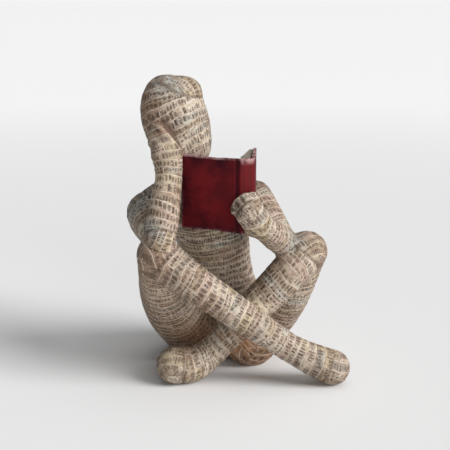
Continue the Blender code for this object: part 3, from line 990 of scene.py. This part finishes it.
def make_leaves(settings):
    """Both blocks of leaves, each leaf a thin sheet of its own."""
    block = bmesh.new()
    leaf = block.verts.layers.float.new("leaf")
    edge = block.verts.layers.float.new("edge")
    foot = share(SPINE_FOOT).z + PAGE_INSET
    tall = BOOK_HEIGHT - 2 * PAGE_INSET
    sides = ((True, RIGHT_LEAF_COUNT, RIGHT_LEAVES), (False, LEFT_LEAF_COUNT, LEFT_LEAVES))
    for on_right, leaves, room in sides:
        for index in range(leaves):
            part = index / (leaves - 1)
            stray = math.sin(index * 2.4) * LEAF_STRAY
            thick = room / leaves * LEAF_FILL
            path = leaf_path(part, on_right)
            path[-1] = path[-1] + (path[-1] - path[-2]).normalized() * stray
            heights = (foot + abs(stray), foot + tall - abs(stray) * 1.5)
            for vertex, on_edge in add_leaf(block, path, thick, heights):
                vertex[leaf] = 0.5 + 0.5 * math.sin(index * 1.9)
                vertex[edge] = on_edge
    data = bpy.data.meshes.new("book_pages")
    block.to_mesh(data)
    block.free()
    pages = mesh_object("book_pages", data)
    pages.data.materials.append(leaf_finish(settings))
    pages.data.shade_smooth()
    pages.data.set_sharp_from_angle(angle=math.radians(35))
    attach(pages, "root")


def add_leaf(block, path, thick, heights):
    """Stand a closed thin sheet on the path, and give its points with 1 for those on its edges, else 0."""
    low, high = heights
    last = len(path) - 1
    sides = []
    marked = []
    for side in (-0.5, 0.5):
        grid = []
        for row in range(LEAF_ROWS + 1):
            height = low + (high - low) * row / LEAF_ROWS
            line = []
            for index, point in enumerate(path):
                before = path[max(index - 1, 0)]
                after = path[min(index + 1, last)]
                heading = (after - before).normalized()
                across = Vector((-heading.y, heading.x, 0)) * thick * side
                vertex = block.verts.new((point.x + across.x, point.y + across.y, height))
                line.append(vertex)
                marked.append((vertex, 1.0 if row in (0, LEAF_ROWS) or index == last else 0.0))
            grid.append(line)
        sides.append(grid)
    front, back = sides
    for row in range(LEAF_ROWS):
        low_front, high_front = front[row], front[row + 1]
        low_back, high_back = back[row], back[row + 1]
        for one, two in zip(range(last), range(1, last + 1)):
            block.faces.new((low_front[one], low_front[two], high_front[two], high_front[one]))
            block.faces.new((low_back[one], high_back[one], high_back[two], low_back[two]))
        block.faces.new((low_front[last], low_back[last], high_back[last], high_front[last]))
        block.faces.new((low_front[0], high_front[0], high_back[0], low_back[0]))
    for one, two in zip(range(last), range(1, last + 1)):
        block.faces.new((front[0][one], back[0][one], back[0][two], front[0][two]))
        block.faces.new((front[-1][one], front[-1][two], back[-1][two], back[-1][one]))
    return marked


def cast_copy():
    """One mesh of the figure's cast halves, with the forms that stand out on them."""
    whole = bmesh.new()
    for name in CAST_HALVES:
        whole.from_mesh(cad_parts[name].data)
    for stations in RIDGES:
        knots = knots_of(stations)
        for step in np.linspace(0, len(knots) - 1, RIDGE_STEPS):
            station = curve_at(knots, step)
            place = Matrix.Translation(station[:3])
            bmesh.ops.create_icosphere(whole, subdivisions=4, radius=station[3], matrix=place)
    data = bpy.data.meshes.new("papered_figure")
    whole.to_mesh(data)
    whole.free()
    return mesh_object("papered_figure", data)


def make_skin(settings):
    """The papered surface of the whole figure, over a fine copy of its casting."""
    skin = cast_copy()
    fill = skin.modifiers.new("fill the partings", "DISPLACE")
    fill.strength = FILL_STEP
    fill.mid_level = 0
    fine = skin.modifiers.new("fine", "REMESH")
    fine.mode = "VOXEL"
    fine.voxel_size = settings.grid
    soften = skin.modifiers.new("soften", "SMOOTH")
    soften.factor = 0.5
    soften.iterations = 5
    apply_modifiers(skin)
    winding = Winding()
    paste_strips(skin, winding, settings)
    wind(skin, winding)
    write_hollows(skin, [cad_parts["book"]])
    skin.data.shade_smooth()
    skin.data.materials.append(papered_finish(settings))
    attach(skin, "root")
    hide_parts(*CAST_HALVES)


def sun(name, towards, strength, softness):
    """A wide soft light that shines from the given side."""
    data = bpy.data.lights.new(name, "SUN")
    data.energy = strength
    data.angle = softness
    light = bpy.data.objects.new(name, data)
    bpy.context.scene.collection.objects.link(light)
    light.rotation_euler = Vector(towards).to_track_quat("Z", "Y").to_euler()


def make_floor(settings):
    """A plain floor, darkened round the figure with painted shade."""
    slab = bmesh.new()
    bmesh.ops.create_grid(slab, x_segments=2, y_segments=2, size=FLOOR_SIZE)
    data = bpy.data.meshes.new("floor")
    slab.to_mesh(data)
    slab.free()
    floor = mesh_object("floor", data)
    finish = Finish("floor")
    x, y, _ = finish.split(finish.place())
    # Painted shade: darker round the figure, paler far off
    far = (x * x + y * y).rise(0.02, 1.2)
    colour = finish.mix(far, settings.near_floor, settings.floor)
    data.materials.append(finish.finish(Base_Color=colour, Roughness=0.9))


def make_stage(settings):
    """Floor, soft lights from the right, the front, above and all round, and the camera."""
    make_floor(settings)
    sun("key", TOWARDS_KEY, settings.key, settings.softness)
    sun("front", TOWARDS_FRONT, settings.front, settings.softness)
    sun("top", TOWARDS_TOP, settings.top, 2 * settings.softness)
    world = bpy.data.worlds.new("studio")
    world.use_nodes = True
    background = world.node_tree.nodes["Background"]
    background.inputs["Color"].default_value = (1, 1, 1, 1)
    background.inputs["Strength"].default_value = settings.sky
    scene = bpy.context.scene
    scene.world = world
    scene.view_settings.view_transform = "Standard"

    data = bpy.data.cameras.new("camera")
    data.lens = settings.lens
    data.sensor_width = SENSOR_WIDTH
    camera = bpy.data.objects.new("camera", data)
    scene.collection.objects.link(camera)
    middle = Vector((ORIGIN.x, ORIGIN.y, LOOK_HEIGHT))
    back = Vector((0, -math.cos(settings.elevation), math.sin(settings.elevation)))
    camera.location = middle + back * settings.distance
    camera.rotation_euler = (-back).to_track_quat("-Z", "Y").to_euler()
    scene.camera = camera


class READING_OT_skin(bpy.types.Operator):
    """Paste printed strips all over the figure"""
    bl_idname = "reading.skin"
    bl_label = "Papered Figure"

    def execute(self, context):
        make_skin(context.scene.reading_skin)
        return {"FINISHED"}


class READING_OT_book(bpy.types.Operator):
    """Bind the book's cover and lay in its leaves"""
    bl_idname = "reading.book"
    bl_label = "Book"

    def execute(self, context):
        make_cover(context.scene.reading_book)
        make_leaves(context.scene.reading_book)
        return {"FINISHED"}


class READING_OT_stage(bpy.types.Operator):
    """Set the floor, the lights and the camera"""
    bl_idname = "reading.stage"
    bl_label = "Studio"

    def execute(self, context):
        make_stage(context.scene.reading_stage)
        return {"FINISHED"}


class READING_PT_panel(bpy.types.Panel):
    """The pieces of the figure and their settings"""
    bl_idname = "READING_PT_panel"
    bl_label = "Reading Figure"
    bl_space_type = "VIEW_3D"
    bl_region_type = "UI"
    bl_category = "Reading Figure"

    def draw(self, context):
        for group in ("skin", "book", "stage"):
            box = self.layout.box()
            settings = getattr(context.scene, "reading_" + group)
            for name in settings.__annotations__:
                box.prop(settings, name)
            box.operator("reading." + group)


SETTINGS = {"reading_skin": SkinSettings, "reading_book": BookSettings, "reading_stage": StageSettings}
CLASSES = (*SETTINGS.values(), READING_OT_skin, READING_OT_book, READING_OT_stage, READING_PT_panel)


def register():
    for kind in CLASSES:
        bpy.utils.register_class(kind)
    for name, kind in SETTINGS.items():
        setattr(bpy.types.Scene, name, PointerProperty(type=kind))


def unregister():
    for name in SETTINGS:
        delattr(bpy.types.Scene, name)
    for kind in reversed(CLASSES):
        bpy.utils.unregister_class(kind)


def main():
    register()
    bpy.ops.reading.stage()
    bpy.ops.reading.skin()
    bpy.ops.reading.book()


if __name__ == "__main__":
    main()
